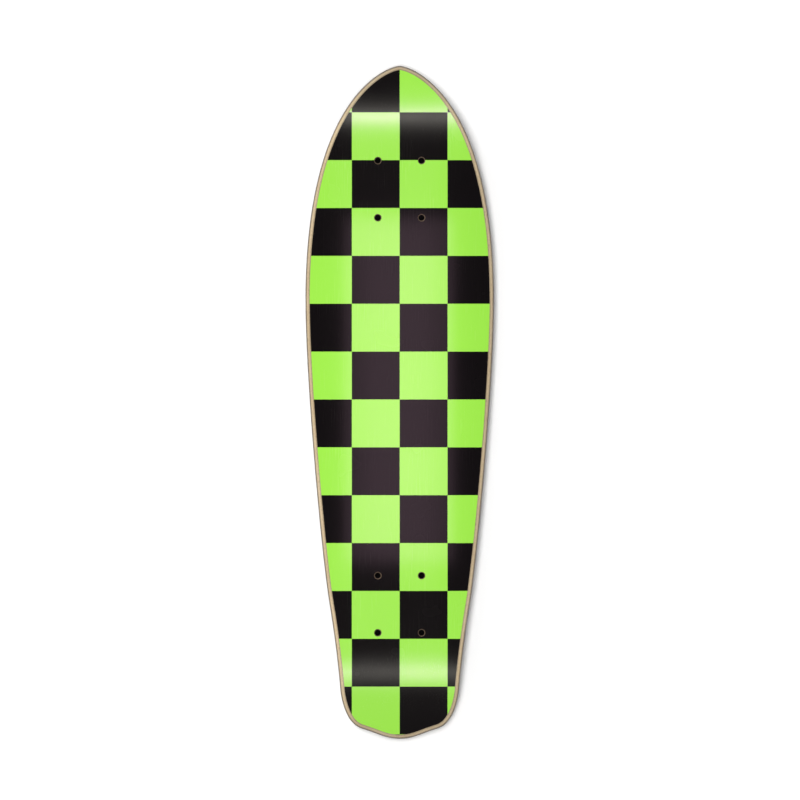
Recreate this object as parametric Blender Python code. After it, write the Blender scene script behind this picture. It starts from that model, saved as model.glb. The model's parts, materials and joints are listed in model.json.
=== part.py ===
"""Skateboard deck: seven maple veneers pressed together, a printed film on the underside, grip tape on the riding side.

The deck lies with its graphic side up and its nose towards +Y, and rests on its nose tip and its tail.
Lengths are in metres. A depth is measured square to the surface, down from the graphic face.
"""

import functools
import math

import bmesh
import bpy
from mathutils import Vector
from mathutils.geometry import interpolate_bezier

# Plan outline of the saw cut, which goes straight down through the layers
DECK_LENGTH = 0.636
DECK_WIDTH = 0.178
NOSE_LENGTH = 0.2215  # nose tip to the widest place
NOSE_TIP_REACH = 0.011  # a reach is how far the outline holds its heading
NOSE_SIDE_REACH = 0.194
BELLY_REACH = 0.073
WAIST_FROM_TAIL = 0.1245
WAIST_WIDTH = 0.1315
WAIST_TAPER = math.radians(9.7)
WAIST_REACH_FORWARD = 0.049
WAIST_REACH_BACK = 0.015
TAIL_SIDE_FROM_END = 0.0475
TAIL_WIDTH = 0.1122
TAIL_TAPER = math.radians(4.6)
TAIL_SIDE_REACH_FORWARD = 0.029
TAIL_SIDE_REACH_BACK = 0.005
TAIL_CORNER_FROM_END = 0.0095
TAIL_CORNER_SPACING = 0.0706
TAIL_SLOPE = math.radians(16.6)
TAIL_CORNER_REACH_OUT = 0.018
TAIL_CORNER_REACH_IN = 0.016
TAIL_TIP_REACH = 0.0135

# Truck bolt holes
FRONT_TRUCK_FROM_NOSE = 0.1167
REAR_TRUCK_FROM_TAIL = 0.1274
BOLT_SPACING_ALONG = 0.05398
BOLT_SPACING_ACROSS = 0.04128
HOLE_DIAMETER = 0.0055
HOLE_MOUTH_FLARE = 0.0008  # of the radius, at the graphic face
HOLE_MOUTH_DEPTH = 0.0013

# Press form
KICK_RISE = 0.0205  # of the riding face, the same at both ends, so that the deck lies level
BOLT_TO_BEND = 0.0105
NOSE_BEND_LENGTH = 0.066
TAIL_BEND_LENGTH = 0.050
CONCAVE_DROP = 0.007
FLAT_WIDTH = 0.056
CONCAVE_FADE = 0.070  # from each truck's centre towards its end

# Layers
FILM_THICKNESS = 0.0003
VENEER_THICKNESS = 0.00125
GRIP_THICKNESS = 0.0009
LAYER_GAP = 0.0003
EDGE_RADIUS = 0.004
GRIP_OVERHANG = 0.0004  # past the start of the rounded edge
FACE_BORDER_MARGIN = 0.0008

# Fineness of the facets
OUTLINE_STEPS = (14, 7, 4, 6, 5)
CONCAVE_LINES = 3
KICK_LINES = 7
ROUNDOVER_STEPS = 3
HOLE_SIDES = 12

VENEER_NAMES = (
    "bottom_face_veneer",
    "lower_long_veneer",
    "lower_cross_veneer",
    "core_veneer",
    "upper_cross_veneer",
    "upper_long_veneer",
    "top_face_veneer",
)

WOOD_THICKNESS = len(VENEER_NAMES) * (VENEER_THICKNESS + LAYER_GAP) - LAYER_GAP
WOOD_DEPTH = FILM_THICKNESS + LAYER_GAP
GRIP_DEPTH = WOOD_DEPTH + WOOD_THICKNESS + LAYER_GAP
DECK_THICKNESS = GRIP_DEPTH + GRIP_THICKNESS
GRIP_INSET = EDGE_RADIUS - GRIP_OVERHANG
FACE_BORDER = EDGE_RADIUS + FACE_BORDER_MARGIN
NOSE_TIP_Y = DECK_LENGTH / 2
TAIL_TIP_Y = -DECK_LENGTH / 2
FRONT_TRUCK_Y = NOSE_TIP_Y - FRONT_TRUCK_FROM_NOSE
REAR_TRUCK_Y = TAIL_TIP_Y + REAR_TRUCK_FROM_TAIL
NOSE_BEND_Y = FRONT_TRUCK_Y + BOLT_SPACING_ALONG / 2 + BOLT_TO_BEND
TAIL_BEND_Y = REAR_TRUCK_Y - BOLT_SPACING_ALONG / 2 - BOLT_TO_BEND


def clear_scene():
    """Start from an empty scene."""
    for thing in list(bpy.data.objects):
        bpy.data.objects.remove(thing, do_unlink=True)


def half_outline_knots():
    """Nose tip to tail tip on the +X side: point, heading, reach before it, reach after it."""
    return (
        (Vector((0, NOSE_TIP_Y)), 0, 0, NOSE_TIP_REACH),
        (Vector((DECK_WIDTH / 2, NOSE_TIP_Y - NOSE_LENGTH)), math.pi / 2, NOSE_SIDE_REACH, BELLY_REACH),
        (
            Vector((WAIST_WIDTH / 2, TAIL_TIP_Y + WAIST_FROM_TAIL)),
            math.pi / 2 + WAIST_TAPER,
            WAIST_REACH_FORWARD,
            WAIST_REACH_BACK,
        ),
        (
            Vector((TAIL_WIDTH / 2, TAIL_TIP_Y + TAIL_SIDE_FROM_END)),
            math.pi / 2 + TAIL_TAPER,
            TAIL_SIDE_REACH_FORWARD,
            TAIL_SIDE_REACH_BACK,
        ),
        (
            Vector((TAIL_CORNER_SPACING / 2, TAIL_TIP_Y + TAIL_CORNER_FROM_END)),
            math.pi - TAIL_SLOPE,
            TAIL_CORNER_REACH_OUT,
            TAIL_CORNER_REACH_IN,
        ),
        (Vector((0, TAIL_TIP_Y)), math.pi, TAIL_TIP_REACH, 0),
    )


def outline_points():
    """The whole outline, clockwise from the nose tip."""
    knots = half_outline_knots()
    half = [knots[0][0]]
    for start, end, steps in zip(knots, knots[1:], OUTLINE_STEPS):
        leaving = start[0] + start[3] * Vector((math.cos(start[1]), -math.sin(start[1])))
        arriving = end[0] - end[2] * Vector((math.cos(end[1]), -math.sin(end[1])))
        half += interpolate_bezier(start[0], leaving, arriving, end[0], steps + 1)[1:]
    mirrored = [Vector((-p.x, p.y)) for p in reversed(half[1:-1])]
    return [Vector((p.x, p.y)) for p in half] + mirrored


def inward_directions(points):
    """A unit vector into the deck at each outline point."""
    directions = []
    for i, point in enumerate(points):
        along = points[(i + 1) % len(points)] - points[i - 1]
        directions.append(Vector((along.y, -along.x)).normalized())
    return directions


@functools.cache
def kick_slope(reach, bend):
    """Slope of the graphic face past the bend that brings the end of the grip tape down by KICK_RISE."""
    slope = 0.0
    for _ in range(20):
        face_drop = KICK_RISE - DECK_THICKNESS * (math.hypot(1, slope) - 1)
        slope = face_drop / (reach - GRIP_INSET - bend / 2)
    return slope


def kick_drop(past_bend, reach, bend_length):
    """Height lost beyond a bend that starts level and then runs straight to the tip, a reach away."""
    if past_bend <= 0:
        return 0.0
    bend = min(bend_length, reach)
    slope = kick_slope(reach, bend)
    if past_bend < bend:
        return slope * past_bend**2 / (2 * bend)
    return slope * (past_bend - bend / 2)


def concave_drop(x, y):
    """Height lost towards the rails, which fades out from each truck to its end."""
    flat = FLAT_WIDTH / 2
    across = max(0.0, abs(x) - flat) / (DECK_WIDTH / 2 - flat)
    past_truck = max(y - FRONT_TRUCK_Y, REAR_TRUCK_Y - y, 0.0) / CONCAVE_FADE
    fade = min(past_truck, 1.0)
    return CONCAVE_DROP * across**2 * (1 - fade * fade * (3 - 2 * fade))


def face_height(x, y):
    """Height of the graphic face, 0 on its flat middle."""
    nose = kick_drop(y - NOSE_BEND_Y, NOSE_TIP_Y - NOSE_BEND_Y, NOSE_BEND_LENGTH)
    tail = kick_drop(TAIL_BEND_Y - y, TAIL_BEND_Y - TAIL_TIP_Y, TAIL_BEND_LENGTH)
    return -nose - tail - concave_drop(x, y)


def pressed_point(x, y, depth):
    """The point straight under (x, y) of the graphic face, at a depth measured square to that face."""
    step = 1e-4
    slope_x = (face_height(x + step, y) - face_height(x - step, y)) / (2 * step)
    slope_y = (face_height(x, y + step) - face_height(x, y - step)) / (2 * step)
    return Vector((x, y, face_height(x, y) - depth * math.hypot(1, slope_x, slope_y)))


def edge_inset(depth):
    """How far the rounded edge stands in from the outline at this depth in the wood."""
    from_face = max(0.0, min(depth - WOOD_DEPTH, WOOD_DEPTH + WOOD_THICKNESS - depth))
    if from_face >= EDGE_RADIUS:
        return 0.0
    return EDGE_RADIUS - math.sqrt(EDGE_RADIUS**2 - (EDGE_RADIUS - from_face) ** 2)


def plan_mesh(points, directions):
    """The face in plan as triangles, cut along lines where the press form bends. The outline's points come first."""
    mesh = bmesh.new()
    outer = [mesh.verts.new((p.x, p.y, 0)) for p in points]
    inner = [mesh.verts.new((p.x + d.x * FACE_BORDER, p.y + d.y * FACE_BORDER, 0)) for p, d in zip(points, directions)]
    for i in range(len(points)):
        mesh.faces.new((outer[i], inner[i], inner[i - 1], outer[i - 1]))
    mesh.faces.new(inner[::-1])

    flat = FLAT_WIDTH / 2
    bending = DECK_WIDTH / 2 - flat
    across = [flat + bending * i / (CONCAVE_LINES + 1) for i in range(CONCAVE_LINES + 1)]
    cuts = [(Vector((side * x, 0, 0)), Vector((1, 0, 0))) for x in across for side in (-1, 1)]
    for truck_y, tip_y in ((FRONT_TRUCK_Y, NOSE_TIP_Y), (REAR_TRUCK_Y, TAIL_TIP_Y)):
        for i in range(KICK_LINES):
            cuts.append((Vector((0, truck_y + (tip_y - truck_y) * i / KICK_LINES, 0)), Vector((0, 1, 0))))
    for place, normal in cuts:
        inside = [face for face in mesh.faces if not any(v in outer for v in face.verts)]
        edges = {edge for face in inside for edge in face.edges}
        corners = {vert for face in inside for vert in face.verts}
        bmesh.ops.bisect_plane(
            mesh, geom=inside + list(edges) + list(corners), dist=1e-5, plane_co=place, plane_no=normal
        )
    bmesh.ops.triangulate(mesh, faces=mesh.faces[:])

    order = outer + [vert for vert in mesh.verts if vert not in outer]
    number = {vert: i for i, vert in enumerate(order)}
    places = [Vector((vert.co.x, vert.co.y)) for vert in order]
    faces = [[number[vert] for vert in face.verts] for face in mesh.faces]
    mesh.free()
    return places, faces


def pressed_layer(name, plan, depths, insets, material, parent):
    """One closed sheet: a face at the first depth, a face at the last, and an edge through each depth and inset."""
    points, directions, places, faces = plan
    rim_count = len(points)
    mesh = bmesh.new()
    rings = []
    for depth, inset in zip(depths, insets):
        ring = []
        for point, direction in zip(points, directions):
            spot = point + direction * inset
            ring.append(mesh.verts.new(pressed_point(spot.x, spot.y, depth)))
        rings.append(ring)
    for ring, depth, upward in ((rings[0], depths[0], True), (rings[-1], depths[-1], False)):
        sheet = ring + [mesh.verts.new(pressed_point(p.x, p.y, depth)) for p in places[rim_count:]]
        for face in faces:
            corners = [sheet[i] for i in face]
            mesh.faces.new(corners if upward else corners[::-1])
    for upper, lower in zip(rings, rings[1:]):
        for i in range(rim_count):
            mesh.faces.new((upper[i - 1], upper[i], lower[i], lower[i - 1]))
    bmesh.ops.recalc_face_normals(mesh, faces=mesh.faces[:])
    data = bpy.data.meshes.new(name)
    mesh.to_mesh(data)
    mesh.free()
    data.materials.append(material)
    data.shade_smooth()
    data.set_sharp_from_angle(angle=math.radians(40))
    layer = bpy.data.objects.new(name, data)
    bpy.context.scene.collection.objects.link(layer)
    layer.parent = parent
    return layer


def make_material(name, colour, roughness):
    """A plain finish for one piece."""
    material = bpy.data.materials.new(name)
    material.use_nodes = True
    shader = material.node_tree.nodes["Principled BSDF"]
    shader.inputs["Base Color"].default_value = (*colour, 1)
    shader.inputs["Roughness"].default_value = roughness
    return material


def make_bolt_drill(parent):
    """Eight drills in one cutter. Each leaves a flared mouth and stops between the wood and the grip tape."""
    mesh = bmesh.new()
    radius = HOLE_DIAMETER / 2
    overrun = 0.002
    profile = (
        (0.0, -(GRIP_DEPTH - LAYER_GAP / 2)),
        (radius, -(GRIP_DEPTH - LAYER_GAP / 2)),
        (radius, -HOLE_MOUTH_DEPTH),
        (radius + HOLE_MOUTH_FLARE * (1 + overrun / HOLE_MOUTH_DEPTH), overrun),
        (0.0, overrun),
    )
    for truck_y in (FRONT_TRUCK_Y, REAR_TRUCK_Y):
        for along in (-1, 1):
            for across in (-1, 1):
                centre = Vector((across * BOLT_SPACING_ACROSS / 2, truck_y + along * BOLT_SPACING_ALONG / 2, 0))
                line = [mesh.verts.new(centre + Vector((r, 0, z))) for r, z in profile]
                edges = [mesh.edges.new(pair) for pair in zip(line, line[1:])]
                bmesh.ops.spin(
                    mesh, geom=line + edges, cent=centre, axis=(0, 0, 1), angle=math.tau, steps=HOLE_SIDES,
                    use_merge=True,
                )
    bmesh.ops.remove_doubles(mesh, verts=mesh.verts[:], dist=1e-6)
    bmesh.ops.recalc_face_normals(mesh, faces=mesh.faces[:])
    data = bpy.data.meshes.new("bolt_drill")
    mesh.to_mesh(data)
    mesh.free()
    drill = bpy.data.objects.new("bolt_drill", data)
    bpy.context.scene.collection.objects.link(drill)
    drill.parent = parent
    drill.display_type = "WIRE"
    drill.hide_render = True
    return drill


def drill_bolt_holes(layer, drill):
    """Cut the eight truck bolt holes through one layer."""
    holes = layer.modifiers.new("bolt_holes", "BOOLEAN")
    holes.operation = "DIFFERENCE"
    holes.solver = "EXACT"
    holes.object = drill


def make_printed_film(plan, parent):
    """The printed heat-transfer film, which stops where the edge starts to round over."""
    material = make_material("printed_film", (0.37, 0.85, 0.09), 0.25)
    depths = (0.0, FILM_THICKNESS)
    return pressed_layer("printed_film", plan, depths, (EDGE_RADIUS, EDGE_RADIUS), material, parent)


def make_veneers(plan, parent):
    """The seven maple veneers, from the graphic side to the riding side. Their edges follow the roundover."""
    veneers = []
    for i, name in enumerate(VENEER_NAMES):
        grain = "cross" if "cross" in name else "long"
        colour = (0.62, 0.42, 0.22) if grain == "cross" else (0.72, 0.52, 0.30)
        top = WOOD_DEPTH + i * (VENEER_THICKNESS + LAYER_GAP)
        rounded = i in (0, len(VENEER_NAMES) - 1)
        steps = ROUNDOVER_STEPS if rounded else 1
        depths = [top + VENEER_THICKNESS * step / steps for step in range(steps + 1)]
        insets = [edge_inset(depth) for depth in depths]
        veneers.append(pressed_layer(name, plan, depths, insets, make_material(name, colour, 0.5), parent))
    return veneers


def make_grip_tape(plan, parent):
    """The grit-faced grip tape, trimmed on the rounded edge."""
    material = make_material("grip_tape", (0.02, 0.02, 0.022), 0.95)
    depths = (GRIP_DEPTH, GRIP_DEPTH + GRIP_THICKNESS)
    return pressed_layer("grip_tape", plan, depths, (GRIP_INSET, GRIP_INSET), material, parent)


def stand_on_floor(deck, layers):
    """Move the deck so that its lowest points touch height 0 and its box is centred on the origin."""
    corners = [vertex.co for layer in layers for vertex in layer.data.vertices]
    middle_y = (min(c.y for c in corners) + max(c.y for c in corners)) / 2
    deck.location = (0, -middle_y, -min(c.z for c in corners))


def build_deck():
    """Make every layer of the deck."""
    clear_scene()
    deck = bpy.data.objects.new("deck", None)
    bpy.context.scene.collection.objects.link(deck)
    points = outline_points()
    directions = inward_directions(points)
    plan = (points, directions, *plan_mesh(points, directions))
    drill = make_bolt_drill(deck)
    drilled = [make_printed_film(plan, deck)] + make_veneers(plan, deck)
    for layer in drilled:
        drill_bolt_holes(layer, drill)
    stand_on_floor(deck, drilled + [make_grip_tape(plan, deck)])


build_deck()
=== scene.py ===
"""A bare cruiser skateboard deck, graphic side up, laid on a pale floor on its nose tip and its tail.

Lengths are in metres. +Y runs to the nose, +X across the deck and +Z out of the graphic face.
"""

import json
import math

import bmesh
import bpy
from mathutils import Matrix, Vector
from mathutils.geometry import interpolate_bezier


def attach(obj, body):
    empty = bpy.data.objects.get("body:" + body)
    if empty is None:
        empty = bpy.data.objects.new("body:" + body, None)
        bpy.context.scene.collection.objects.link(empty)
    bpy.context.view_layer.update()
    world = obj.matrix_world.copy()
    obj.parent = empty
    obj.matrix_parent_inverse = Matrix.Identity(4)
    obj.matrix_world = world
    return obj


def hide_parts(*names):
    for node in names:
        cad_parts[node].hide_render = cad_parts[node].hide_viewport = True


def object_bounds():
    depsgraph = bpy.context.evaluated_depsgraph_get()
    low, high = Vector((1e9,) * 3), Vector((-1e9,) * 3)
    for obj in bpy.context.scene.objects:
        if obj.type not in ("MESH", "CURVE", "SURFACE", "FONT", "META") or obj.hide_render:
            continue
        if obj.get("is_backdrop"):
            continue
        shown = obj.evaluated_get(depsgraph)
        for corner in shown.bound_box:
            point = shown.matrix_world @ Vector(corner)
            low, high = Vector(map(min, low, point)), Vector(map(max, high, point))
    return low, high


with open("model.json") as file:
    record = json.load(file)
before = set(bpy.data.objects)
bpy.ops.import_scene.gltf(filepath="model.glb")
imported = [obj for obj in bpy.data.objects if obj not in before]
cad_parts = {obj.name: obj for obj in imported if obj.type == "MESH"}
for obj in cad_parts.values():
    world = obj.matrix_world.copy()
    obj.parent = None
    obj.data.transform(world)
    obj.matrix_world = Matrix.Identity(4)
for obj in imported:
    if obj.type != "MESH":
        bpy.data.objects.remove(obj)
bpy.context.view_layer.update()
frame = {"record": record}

# --------------------------------------------------------------------------------------------------
# Maple veneers
# Seven rotary-cut maple veneers are glued face to face and squeezed in a press, whose form turns up
# the nose and the tail and dishes the riding side. The blank is then sawn to its outline and its edge
# is rounded over.
# --------------------------------------------------------------------------------------------------
seat = {mount["name"]: Vector(mount["pos_m"]) for mount in frame["record"]["mounts"]}
face_z = seat["front_truck_seat"].z
riding_z = seat["riding_face"].z
deck_thickness = face_z - riding_z
front_truck_y = seat["front_truck_seat"].y
rear_truck_y = seat["rear_truck_seat"].y

# The outline is the line of the saw cut, which goes straight down. A reach is how far it holds its heading.
front_truck_to_nose = 0.1167
rear_truck_to_tail = 0.1274
nose_tip_y = front_truck_y + front_truck_to_nose
tail_tip_y = rear_truck_y - rear_truck_to_tail
deck_width = 0.178
widest_from_nose = 0.2215
nose_tip_reach = 0.011
nose_side_reach = 0.194
belly_reach = 0.073
waist_from_tail = 0.1245
waist_width = 0.1315
waist_taper = math.radians(9.7)
waist_reach_forward = 0.049
waist_reach_back = 0.015
tail_side_from_end = 0.0475
tail_width = 0.1122
tail_taper = math.radians(4.6)
tail_side_reach_forward = 0.029
tail_side_reach_back = 0.005
tail_corner_from_end = 0.0095
tail_corner_spacing = 0.0706
tail_slope = math.radians(16.6)
tail_corner_reach_out = 0.018
tail_corner_reach_in = 0.016
tail_tip_reach = 0.0135
outline_step = 0.002

# Point, heading, reach before it and reach after it, from the nose tip down the +X rail to the tail tip
turns = (
    (Vector((0, nose_tip_y)), 0, 0, nose_tip_reach),
    (Vector((deck_width / 2, nose_tip_y - widest_from_nose)), math.pi / 2, nose_side_reach, belly_reach),
    (
        Vector((waist_width / 2, tail_tip_y + waist_from_tail)),
        math.pi / 2 + waist_taper,
        waist_reach_forward,
        waist_reach_back,
    ),
    (
        Vector((tail_width / 2, tail_tip_y + tail_side_from_end)),
        math.pi / 2 + tail_taper,
        tail_side_reach_forward,
        tail_side_reach_back,
    ),
    (
        Vector((tail_corner_spacing / 2, tail_tip_y + tail_corner_from_end)),
        math.pi - tail_slope,
        tail_corner_reach_out,
        tail_corner_reach_in,
    ),
    (Vector((0, tail_tip_y)), math.pi, tail_tip_reach, 0),
)
rail = [turns[0][0]]
for here, there in zip(turns, turns[1:]):
    leaving = here[0] + here[3] * Vector((math.cos(here[1]), -math.sin(here[1])))
    arriving = there[0] - there[2] * Vector((math.cos(there[1]), -math.sin(there[1])))
    steps = math.ceil((there[0] - here[0]).length / outline_step)
    rail += interpolate_bezier(here[0], leaving, arriving, there[0], steps + 1)[1:]
outline = [Vector((p.x, p.y)) for p in rail] + [Vector((-p.x, p.y)) for p in reversed(rail[1:-1])]
inward = []
for i, point in enumerate(outline):
    along = outline[(i + 1) % len(outline)] - outline[i - 1]
    inward.append(Vector((along.y, -along.x)).normalized())

# The press form
bolt_spacing_along = 0.05398
bolt_spacing_across = 0.04128
bolt_to_bend = 0.0105
nose_bend_length = 0.066
tail_bend_length = 0.050
concave_drop = 0.007
flat_width = 0.056
concave_fade = 0.070
edge_radius = 0.004
grip_inset = edge_radius - 0.0004
nose_bend_y = front_truck_y + bolt_spacing_along / 2 + bolt_to_bend
tail_bend_y = rear_truck_y - bolt_spacing_along / 2 - bolt_to_bend
settling_passes = 20


def kick_slope(reach, bend):
    """Slope of a kick that brings the end of the grip tape down to the floor."""
    slope = 0.0
    for _ in range(settling_passes):
        drop = riding_z - deck_thickness * (math.hypot(1, slope) - 1)
        slope = drop / (reach - grip_inset - bend / 2)
    return slope


nose_slope = kick_slope(nose_tip_y - nose_bend_y, nose_bend_length)
tail_slope_down = kick_slope(tail_bend_y - tail_tip_y, tail_bend_length)


def kick_drop(past_bend, slope, bend):
    """Height lost past a bend that starts level and then runs on straight."""
    if past_bend <= 0:
        return 0.0
    if past_bend < bend:
        return slope * past_bend**2 / (2 * bend)
    return slope * (past_bend - bend / 2)


def form_height(x, y):
    """Height of the graphic face over the floor."""
    kicks = kick_drop(y - nose_bend_y, nose_slope, nose_bend_length)
    kicks += kick_drop(tail_bend_y - y, tail_slope_down, tail_bend_length)
    across = max(0.0, abs(x) - flat_width / 2) / (deck_width / 2 - flat_width / 2)
    fade = min(max(y - front_truck_y, rear_truck_y - y, 0.0) / concave_fade, 1.0)
    return face_z - kicks - concave_drop * across**2 * (1 - fade * fade * (3 - 2 * fade))


def form_point(x, y):
    """A point of the graphic face, and how far straight down one unit of thickness reaches there."""
    step = 1e-4
    rise_x = (form_height(x + step, y) - form_height(x - step, y)) / (2 * step)
    rise_y = (form_height(x, y + step) - form_height(x, y - step)) / (2 * step)
    return Vector((x, y, form_height(x, y))), math.hypot(1, rise_x, rise_y)


# Every layer bends along the same fine lines.
check_size = 0.0452
check_seam_y = 0.0027
lines_per_check = 9
line_gap = check_size / lines_per_check
point_clearance = 0.001
touching = 1e-5


def line_crossings(start, end):
    """Shares of the way from start to end at which a bend line is crossed."""
    shares = []
    for a, b in ((start.x, end.x), (start.y - check_seam_y, end.y - check_seam_y)):
        a, b = a / line_gap, b / line_gap
        for line in range(math.ceil(min(a, b)), math.floor(max(a, b)) + 1):
            shares.append((line - a) / (b - a) if a != b else 0.0)
    return sorted(share for share in shares if point_clearance < share < 1 - point_clearance)


rim = []
rim_inward = []
for i, point in enumerate(outline):
    following = (i + 1) % len(outline)
    start = point + inward[i] * edge_radius
    end = outline[following] + inward[following] * edge_radius
    for share in [0.0] + line_crossings(start, end):
        rim.append(start.lerp(end, share))
        rim_inward.append(inward[i].lerp(inward[following], share).normalized())

plan = bmesh.new()
rim_verts = [plan.verts.new((p.x, p.y, 0)) for p in rim]
plan.faces.new(rim_verts[::-1])
for axis, low, high, origin in (
    (Vector((1, 0, 0)), -deck_width / 2, deck_width / 2, 0.0),
    (Vector((0, 1, 0)), tail_tip_y, nose_tip_y, check_seam_y),
):
    for line in range(math.ceil((low - origin) / line_gap), math.floor((high - origin) / line_gap) + 1):
        everything = plan.verts[:] + plan.edges[:] + plan.faces[:]
        place = axis * (origin + line * line_gap)
        bmesh.ops.bisect_plane(plan, geom=everything, dist=touching, plane_co=place, plane_no=axis)
on_rim = set(rim_verts)
plan_order = rim_verts + [vert for vert in plan.verts if vert not in on_rim]
number = {vert: i for i, vert in enumerate(plan_order)}
inner_points = [form_point(vert.co.x, vert.co.y) for vert in plan_order[len(rim):]]
plan_faces = [[number[vert] for vert in face.verts] for face in plan.faces]
plan.free()


def press_layer(name, rings):
    """One closed layer. A ring is its edge at a depth under the graphic face, inset from the outline."""
    sheet = bmesh.new()
    across_layer = sheet.verts.layers.float.new("across_layer")
    rings_of_verts = []
    for depth, inset in rings:
        ring = []
        for spot, direction in zip(rim, rim_inward):
            spot = spot + direction * (inset - edge_radius)
            place, steepness = form_point(spot.x, spot.y)
            vert = sheet.verts.new(place - Vector((0, 0, depth * steepness)))
            vert[across_layer] = (depth - rings[0][0]) / (rings[-1][0] - rings[0][0])
            ring.append(vert)
        rings_of_verts.append(ring)
    upper_side = (rings_of_verts[0], rings[0][0], True)
    lower_side = (rings_of_verts[-1], rings[-1][0], False)
    for ring, depth, upward in (upper_side, lower_side):
        side = list(ring)
        for place, steepness in inner_points:
            side.append(sheet.verts.new(place - Vector((0, 0, depth * steepness))))
        for vert in side:
            vert[across_layer] = 0.0 if upward else 1.0
        for face in plan_faces:
            corners = [side[i] for i in face]
            sheet.faces.new(corners if upward else corners[::-1])
    for upper, lower in zip(rings_of_verts, rings_of_verts[1:]):
        for i in range(len(rim)):
            sheet.faces.new((upper[i - 1], upper[i], lower[i], lower[i - 1]))
    mesh = bpy.data.meshes.new(name)
    sheet.to_mesh(mesh)
    sheet.free()
    mesh.shade_smooth()
    layer = bpy.data.objects.new(name, mesh)
    bpy.context.scene.collection.objects.link(layer)
    return layer


film_thickness = 0.00012
grip_thickness = 0.0009
veneer_names = (
    "bottom_face_veneer",
    "lower_long_veneer",
    "lower_cross_veneer",
    "core_veneer",
    "upper_cross_veneer",
    "upper_long_veneer",
    "top_face_veneer",
)
wood_thickness = deck_thickness - film_thickness - grip_thickness
veneer_thickness = wood_thickness / len(veneer_names)
round_step = math.radians(8)
least_turn = 1e-6
least_depth = 1e-7


def turned_at(depth):
    """How far round its quarter circle the edge has turned at a depth in the wood."""
    return math.acos(1 - min(depth, edge_radius) / edge_radius)


def rounded_rings(top, bottom):
    """Rings down the wood's edge between two depths in it. It is a quarter round at either face."""
    rings = []
    from_above = (top, bottom, False)
    from_below = (wood_thickness - bottom, wood_thickness - top, True)
    for near, far, flip in (from_above, from_below):
        first, last = turned_at(near), turned_at(far)
        if last - first < least_turn:
            continue
        steps = math.ceil((last - first) / round_step)
        angles = [first + (last - first) * i / steps for i in range(steps + 1)]
        part = [(edge_radius * (1 - math.cos(a)), edge_radius * (1 - math.sin(a))) for a in angles]
        if flip:
            part = [(wood_thickness - depth, inset) for depth, inset in reversed(part)]
        rings += part
    if not rings or rings[0][0] > top + least_depth:
        rings.insert(0, (top, 0.0))
    if rings[-1][0] < bottom - least_depth:
        rings.append((bottom, 0.0))
    return [(film_thickness + depth, inset) for depth, inset in rings]


veneers = []
for i, name in enumerate(veneer_names):
    rings = rounded_rings(i * veneer_thickness, (i + 1) * veneer_thickness)
    veneers.append(press_layer(name + "_wood", rings))


class Nodes:
    """A finish, and short ways to lay out its nodes."""

    def __init__(self, name):
        self.finish = bpy.data.materials.new(name)
        self.finish.use_nodes = True
        self.tree = self.finish.node_tree
        self.shader = self.tree.nodes["Principled BSDF"]

    def add(self, kind, settings=(), **inputs):
        """A node with its sockets set or fed. An _ is a space in a name, and n_0 is the first socket."""
        node = self.tree.nodes.new("ShaderNode" + kind)
        for setting, value in dict(settings).items():
            setattr(node, setting, value)
        for socket, value in inputs.items():
            self.feed(node, socket.replace("_", " "), value)
        return node

    def feed(self, node, socket, value):
        """Set a socket, or lead another node's first output or a given output to it."""
        target = node.inputs[int(socket[2:])] if socket.startswith("n ") else node.inputs[socket]
        if isinstance(value, bpy.types.Node):
            value = value.outputs[0]
        if isinstance(value, bpy.types.NodeSocket):
            self.tree.links.new(value, target)
        else:
            target.default_value = value

    def math(self, operation, a, b=0.0):
        """Arithmetic on two values."""
        return self.add("Math", {"operation": operation}, n_0=a, n_1=b)

    def spread(self, value, low, high, to_low, to_high):
        """Stretch a value's range onto another, clamped."""
        return self.add(
            "MapRange", Value=value, From_Min=low, From_Max=high, To_Min=to_low, To_Max=to_high
        ).outputs["Result"]

    def mix(self, share, first, second):
        """A colour between two, by a share of the second."""
        blend = self.add("Mix", {"data_type": "RGBA"}, n_0=share, n_6=(*first, 1), n_7=(*second, 1))
        return blend.outputs[2]

    def emboss(self, height, strength, depth):
        """Raise the surface by a height that runs from none to a depth."""
        bump = self.add("Bump", Strength=strength, Distance=depth, Height=height)
        self.feed(self.shader, "Normal", bump.outputs["Normal"])


fibre_stretch = 8
end_grain_dark = 0.15
# How dark the painted shade is where the edge faces sideways
steep_edge_shade_dark = 0.5
fleck_dark = 0.25
glue_dark = 0.45


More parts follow.
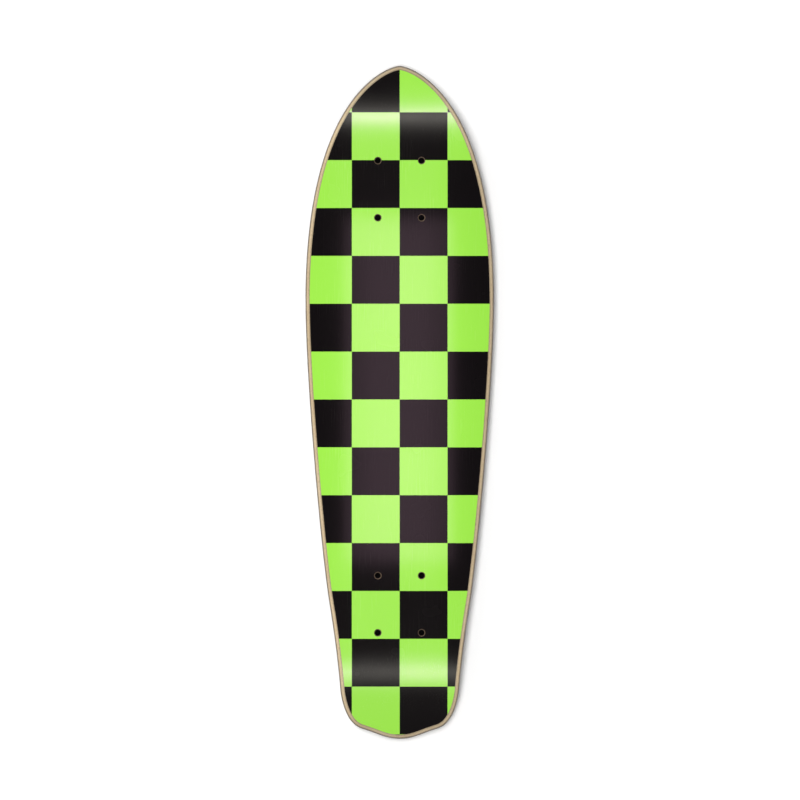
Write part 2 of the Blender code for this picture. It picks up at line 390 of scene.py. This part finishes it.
def maple(name, fibre, early, late):
    """Sanded maple with its fibres along one axis. End grain and glue lines are darker, and steep edges
    carry painted shade.
    """
    wood = Nodes(name)
    place = wood.add("TexCoord")
    across = [1 if axis == fibre else fibre_stretch for axis in "XYZ"]

    def figure(fineness, detail):
        """Noise drawn out along the fibres."""
        scale = [fineness * stretch for stretch in across]
        drawn_out = wood.add("Mapping", Vector=place.outputs["Object"], Scale=scale)
        return wood.add("TexNoise", Vector=drawn_out, Scale=1.0, Detail=detail).outputs["Fac"]

    growth = figure(fineness=11.0, detail=3.0)
    fibres = figure(fineness=140.0, detail=2.0)
    pores = figure(fineness=420.0, detail=1.0)

    # Slow bands of early and late wood, with finer fibres in them
    bands = wood.spread(growth, 0.3, 0.7, 0.0, 0.7)
    tone = wood.math("ADD", bands, wood.spread(fibres, 0.35, 0.65, 0.0, 0.3))
    colour = wood.mix(tone, early, late)

    # End grain, pores, the glue along both faces of the ply, and painted shade on the steep edge
    facing = wood.add("SeparateXYZ", Vector=place.outputs["Normal"])
    along = wood.math("ABSOLUTE", facing.outputs[fibre])
    end_grain = wood.spread(along, 0.35, 0.95, 0.0, end_grain_dark)
    # Painted shade: the more the edge faces sideways, the darker it is painted, as if out of the light
    # overhead
    steep_edge_shade = wood.spread(wood.math("ABSOLUTE", facing.outputs["Z"]), 0.4, 0.97, steep_edge_shade_dark, 0.0)
    fleck = wood.spread(pores, 0.52, 0.66, 0.0, fleck_dark)
    across_ply = wood.add("Attribute", {"attribute_name": "across_layer"}).outputs["Fac"]
    from_glue = wood.math("MINIMUM", across_ply, wood.math("SUBTRACT", 1.0, across_ply))
    glue = wood.spread(from_glue, 0.02, 0.16, glue_dark, 0.0)
    darker = wood.math("ADD", wood.math("ADD", wood.math("ADD", end_grain, steep_edge_shade), fleck), glue)
    shade = wood.math("SUBTRACT", 1.0, darker)
    grain_and_shade_colour = wood.add("VectorMath", {"operation": "SCALE"}, n_0=colour, Scale=shade)
    wood.feed(wood.shader, "Base Color", grain_and_shade_colour)
    wood.feed(wood.shader, "Roughness", wood.spread(fibres, 0.3, 0.7, 0.42, 0.62))
    grain = wood.math("ADD", fibres, wood.math("MULTIPLY", pores, 0.6))
    wood.emboss(grain, strength=0.35, depth=0.00015)
    return wood.finish


pale_maple = maple("pale_maple", "Y", early=(0.63, 0.50, 0.32), late=(0.51, 0.38, 0.22))
# The inner long veneers are a darker brown; where the second ply shows on the outer part of the rounded
# edge, this also paints the shade that falls there
inner_maple_painted_shade = maple("inner_maple_painted_shade", "Y", early=(0.36, 0.26, 0.165), late=(0.27, 0.19, 0.115))
cross_maple = maple("cross_maple", "X", early=(0.58, 0.44, 0.28), late=(0.46, 0.33, 0.19))
for name, layer in zip(veneer_names, veneers):
    across_deck = "cross" in name
    long_maple = pale_maple if "face" in name else inner_maple_painted_shade
    layer.data.materials.append(cross_maple if across_deck else long_maple)
    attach(layer, "root")
    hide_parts(name)

# --------------------------------------------------------------------------------------------------
# Printed film
# The graphic is a heat-transfer film of green and black checks with a satin gloss, ironed onto the
# bottom veneer. It stops where the edge of the wood starts to round over.
# --------------------------------------------------------------------------------------------------
film = press_layer("printed_film_sheet", [(0.0, edge_radius), (film_thickness, edge_radius)])
smoothest, dullest = 0.24, 0.28
hairline_dulling = 0.03


def ink(name, colour, gloss, tint):
    """One ink of the print: smooth, with the faint ripple of the film and hairline handling marks."""
    print_ink = Nodes(name)
    place = print_ink.add("TexCoord").outputs["Object"]
    print_ink.feed(print_ink.shader, "Base Color", (*colour, 1))
    print_ink.feed(print_ink.shader, "Specular IOR Level", gloss)
    print_ink.feed(print_ink.shader, "Specular Tint", (*tint, 1))
    ripple = print_ink.add("TexNoise", Vector=place, Scale=420.0, Detail=2.0).outputs["Fac"]
    haze = print_ink.add("TexNoise", Vector=place, Scale=28.0, Detail=2.0).outputs["Fac"]
    brushed = print_ink.add("Mapping", Vector=place, Scale=(2200, 30, 2200))
    hairlines = print_ink.add("TexNoise", Vector=brushed, Scale=1.0, Detail=1.0).outputs["Fac"]
    dulled = print_ink.spread(hairlines, 0.6, 0.8, 0.0, hairline_dulling)
    dulled = print_ink.math("ADD", print_ink.spread(haze, 0.25, 0.75, smoothest, dullest), dulled)
    print_ink.feed(print_ink.shader, "Roughness", dulled)
    print_ink.emboss(ripple, strength=0.06, depth=0.0001)
    return print_ink.finish


green_ink = ink("green_ink", colour=(0.260, 0.620, 0.052), gloss=0.50, tint=(1.0, 0.25, 1.0))
black_ink = ink("black_ink", colour=(0.0038, 0.0030, 0.0034), gloss=0.135, tint=(1.0, 0.92, 0.82))
film.data.materials.append(green_ink)
film.data.materials.append(black_ink)
for face in film.data.polygons:
    column = math.floor(face.center.x / check_size)
    row = math.floor((face.center.y - check_seam_y) / check_size)
    face.material_index = (column + row) % 2
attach(film, "root")
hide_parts("printed_film")

# --------------------------------------------------------------------------------------------------
# Truck bolt holes
# Each truck bolts on through four holes, drilled straight through the film and the wood. The drill
# flares the mouth a little, and it stops short of the grip tape, which is punched when the trucks are
# fitted.
# --------------------------------------------------------------------------------------------------


def shaded_hole_wood():
    """The wall of a hole: maple painted dark brown as shade inside the hole, with the rings that the bit's
    lips leave.
    """
    bore = Nodes("shaded_hole_wood")
    place = bore.add("TexCoord").outputs["Object"]
    rings = bore.add("Mapping", Vector=place, Scale=(60, 60, 2600))
    cut = bore.add("TexNoise", Vector=rings, Scale=1.0, Detail=2.0).outputs["Fac"]
    # Painted shade: the wall's browns are darkened to stand in for the shade down the hole
    bore.feed(bore.shader, "Base Color", bore.mix(cut, (0.17, 0.12, 0.075), (0.08, 0.055, 0.034)))
    bore.feed(bore.shader, "Roughness", bore.spread(cut, 0.3, 0.7, 0.6, 0.8))
    bore.emboss(cut, strength=0.4, depth=0.0001)
    return bore.finish


hole_diameter = 0.0055
mouth_flare = 0.0008
mouth_depth = 0.0013
drill_sides = 48
overrun = 0.002
bite_into_grip = grip_thickness / 10
same_point = 1e-6
drilled_to = film_thickness + wood_thickness + bite_into_grip
profile = (
    (0.0, -drilled_to),
    (hole_diameter / 2, -drilled_to),
    (hole_diameter / 2, -mouth_depth),
    (hole_diameter / 2 + mouth_flare * (1 + overrun / mouth_depth), overrun),
    (0.0, overrun),
)
bits = bmesh.new()
for truck_y in (front_truck_y, rear_truck_y):
    for along in (-1, 1):
        for across in (-1, 1):
            hole_x = across * bolt_spacing_across / 2
            hole_y = truck_y + along * bolt_spacing_along / 2
            centre = Vector((hole_x, hole_y, face_z))
            line = [bits.verts.new(centre + Vector((r, 0, z))) for r, z in profile]
            edges = [bits.edges.new(pair) for pair in zip(line, line[1:])]
            bmesh.ops.spin(
                bits,
                geom=line + edges,
                cent=centre,
                axis=(0, 0, 1),
                angle=math.tau,
                steps=drill_sides,
                use_merge=True,
            )
bmesh.ops.remove_doubles(bits, verts=bits.verts[:], dist=same_point)
bmesh.ops.recalc_face_normals(bits, faces=bits.faces[:])
drill_mesh = bpy.data.meshes.new("bolt_drill")
bits.to_mesh(drill_mesh)
bits.free()
drill_mesh.materials.append(shaded_hole_wood())
drill = bpy.data.objects.new("bolt_drill", drill_mesh)
bpy.context.scene.collection.objects.link(drill)
sharp_corner = math.radians(35)
for layer in [film] + veneers:
    cut = layer.modifiers.new("bolt_holes", "BOOLEAN")
    cut.operation = "DIFFERENCE"
    cut.solver = "EXACT"
    cut.material_mode = "TRANSFER"
    cut.object = drill
    drilled = layer.evaluated_get(bpy.context.evaluated_depsgraph_get())
    drilled_mesh = bpy.data.meshes.new_from_object(drilled)
    layer.modifiers.clear()
    layer.data = drilled_mesh
    drilled_mesh.shade_smooth()
    drilled_mesh.set_sharp_from_angle(angle=sharp_corner)
bpy.data.objects.remove(drill)

# --------------------------------------------------------------------------------------------------
# Grip tape
# A sheet of black grit-faced tape covers the riding side. It is trimmed with a file along the rounded
# edge, which leaves a narrow bevel where the grit is worn away.
# --------------------------------------------------------------------------------------------------
filed_height = 0.0003
filed_width = 0.0004
grip = press_layer(
    "grip_tape_sheet",
    [
        (deck_thickness - grip_thickness, grip_inset),
        (deck_thickness - filed_height, grip_inset),
        (deck_thickness, grip_inset + filed_width),
    ],
)
grip.data.set_sharp_from_angle(angle=sharp_corner)

grains_per_metre = 2600.0
darkest_grit, palest_grit = 0.010, 0.018
# How light the painted glint on a grain is
glint_of_a_grain = 0.05
dust_on_filed_edge = 0.05
glue_side_grey = 0.003
grit = Nodes("grip_grit")
place = grit.add("TexCoord")
grains = grit.add("TexVoronoi", Vector=place.outputs["Object"], Scale=grains_per_metre)
patches = grit.add("TexNoise", Vector=place.outputs["Object"], Scale=40.0, Detail=4.0).outputs["Fac"]
lift = grit.spread(grains.outputs["Distance"], 0.0, 0.6, 1.0, 0.0)
facing = grit.add("SeparateXYZ", Vector=place.outputs["Normal"]).outputs["Z"]
filed = grit.spread(facing, -0.9, -0.8, 0.0, 1.0)
dark = grit.spread(patches, 0.3, 0.7, darkest_grit, palest_grit)
# Painted highlight: a few grains are lightened in colour as a painted glint
glint = grit.spread(grains.outputs["Color"], 0.85, 1.0, 0.0, glint_of_a_grain)
dust_and_glint = grit.math("MULTIPLY", filed, dust_on_filed_edge)
dust_and_glint = grit.math("ADD", grit.math("ADD", dark, glint), dust_and_glint)
grit_side = grit.spread(facing, -0.5, 0.5, 1.0, 0.0)
tone = grit.math("MAXIMUM", grit.math("MULTIPLY", dust_and_glint, grit_side), glue_side_grey)
grit.feed(grit.shader, "Base Color", grit.add("CombineXYZ", X=tone, Y=tone, Z=tone))
grit.feed(grit.shader, "Roughness", grit.spread(lift, 0.0, 1.0, 0.95, 0.7))
grit.emboss(lift, strength=0.7, depth=0.0003)
grip.data.materials.append(grit.finish)
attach(grip, "root")
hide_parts("grip_tape")

# --------------------------------------------------------------------------------------------------
# Floor
# A plain white painted studio floor without gloss, level with the tips that the deck lies on and wide
# enough to run out of sight.
# --------------------------------------------------------------------------------------------------
floor_reach = 60.0
floor_mesh = bpy.data.meshes.new("floor")
corners = [(x * floor_reach, y * floor_reach, 0) for x, y in ((-1, -1), (1, -1), (1, 1), (-1, 1))]
floor_mesh.from_pydata(corners, [], [(0, 1, 2, 3)])
floor = bpy.data.objects.new("floor", floor_mesh)
bpy.context.scene.collection.objects.link(floor)
paint = Nodes("white_floor")
paint_grey = 0.85
paint.feed(paint.shader, "Base Color", (paint_grey, paint_grey, paint_grey, 1))
paint.feed(paint.shader, "Roughness", 1.0)
paint.feed(paint.shader, "Specular IOR Level", 0.0)
floor_mesh.materials.append(paint.finish)
floor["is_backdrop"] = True

# --------------------------------------------------------------------------------------------------
# Light
# A large soft key high up and a little to the left, a broad fill from the left, a lower light from
# the left of the nose, and a small glow close over the flat middle. The panels that only show as
# sheen on the film hang over the flat middle and beyond either tip.
# --------------------------------------------------------------------------------------------------


def panel(name, place, aim, size, watts, sheen_only, colour=(1, 1, 1), spread=180.0):
    """A soft panel that the camera doesn't see. It shows either as light or only as sheen."""
    light = bpy.data.lights.new(name, "AREA")
    light.shape = "RECTANGLE"
    light.size, light.size_y = size
    light.energy = watts
    light.color = colour
    light.spread = math.radians(spread)
    lamp = bpy.data.objects.new(name, light)
    bpy.context.scene.collection.objects.link(lamp)
    lamp.location = place
    lamp.rotation_euler = (Vector(aim) - Vector(place)).to_track_quat("-Z", "Y").to_euler()
    lamp.visible_camera = False
    lamp.visible_diffuse = not sheen_only
    lamp.visible_glossy = sheen_only


def sunlight(name, towards, strength, softness):
    """Even soft light from far off, which adds no sheen."""
    light = bpy.data.lights.new(name, "SUN")
    light.energy = strength
    light.angle = math.radians(softness)
    lamp = bpy.data.objects.new(name, light)
    bpy.context.scene.collection.objects.link(lamp)
    lamp.rotation_euler = Vector(towards).to_track_quat("-Z", "Y").to_euler()
    lamp.visible_glossy = False


key_height = 23.6
key_x = -2.16
key_size = (6.4, 18.4)
key_watts = 6048.0
panel("key", (key_x, 0, key_height), (key_x, 0, 0), key_size, key_watts, False)
sunlight("fill", towards=(0.8, -0.3, -1), strength=0.60, softness=150.0)
sunlight("side", towards=(1.2, -1.2, -1), strength=0.80, softness=20.0)

# The flat middle lies between the trucks
middle_y = 0.012
glow_z = face_z + 0.12
glow_size = (0.09, 0.29)
glow_watts = 0.034
panel("middle_glow", (0, middle_y, glow_z), (0, middle_y, 0), glow_size, glow_watts, False)

# A narrow panel and a wide one over the middle give its sheen a soft edge
warm = (1.0, 0.70, 1.0)
sheen_x = -0.001
sheen_z = face_z + 0.075
sheen_length = 0.326
sheen_spread = 130.0
for name, width, watts in (("middle_sheen_narrow", 0.060, 0.118), ("middle_sheen_wide", 0.130, 0.200)):
    above, below = (sheen_x, middle_y, sheen_z), (sheen_x, middle_y, 0)
    panel(name, above, below, (width, sheen_length), watts, True, warm, sheen_spread)

# A narrow panel and a wide one beyond either tip do the same for the band of sheen across its bend
cool = (0.96, 1.0, 1.02)
band_across = 0.5
wide_band = 0.20
for end, place, bend, narrow_band, narrow_watts, wide_watts in (
    ("nose", (0, 0.481, 0.485), (0, 0.274, 0.03), 0.055, 2.1, 0.5),
    ("tail", (0, -0.427, 0.499), (0, -0.255, 0.03), 0.07, 1.5, 0.4),
):
    panel(end + "_sheen", place, bend, (band_across, narrow_band), narrow_watts, True, cool)
    panel(end + "_sheen_wide", place, bend, (band_across, wide_band), wide_watts, True, cool)

# The studio round about is bright near the horizon and dark overhead
bright_below, dark_above = 0.20, 0.45
horizon_strength, overhead_strength = 0.85, 0.03
world = bpy.data.worlds.new("studio")
bpy.context.scene.world = world
world.use_nodes = True
sky = world.node_tree
backdrop = sky.nodes["Background"]
look = sky.nodes.new("ShaderNodeTexCoord")
split = sky.nodes.new("ShaderNodeSeparateXYZ")
ramp = sky.nodes.new("ShaderNodeMapRange")
ramp.interpolation_type = "SMOOTHSTEP"
ramp.inputs["From Min"].default_value = bright_below
ramp.inputs["From Max"].default_value = dark_above
ramp.inputs["To Min"].default_value = horizon_strength
ramp.inputs["To Max"].default_value = overhead_strength
sky.links.new(look.outputs["Generated"], split.inputs[0])
sky.links.new(split.outputs["Z"], ramp.inputs["Value"])
sky.links.new(ramp.outputs["Result"], backdrop.inputs["Strength"])
backdrop.inputs["Color"].default_value = (1, 1, 1, 1)

# --------------------------------------------------------------------------------------------------
# Camera
# A long lens straight above the middle of the deck, with the nose at the top of the picture. It is
# far off, so the tips look no smaller than the middle.
# --------------------------------------------------------------------------------------------------
camera_height = 24.0
camera_x = 0.0003
camera_y = 0.0022
view_across = 0.7554
sensor = 36.0
lens = bpy.data.cameras.new("camera")
lens.sensor_width = sensor
lens.lens = sensor * (camera_height - face_z) / view_across
lens.clip_end = 200.0
camera = bpy.data.objects.new("camera", lens)
camera.location = (camera_x, camera_y, camera_height)
bpy.context.scene.collection.objects.link(camera)
bpy.context.scene.camera = camera
bpy.context.scene.view_settings.view_transform = "Standard"

low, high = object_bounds()
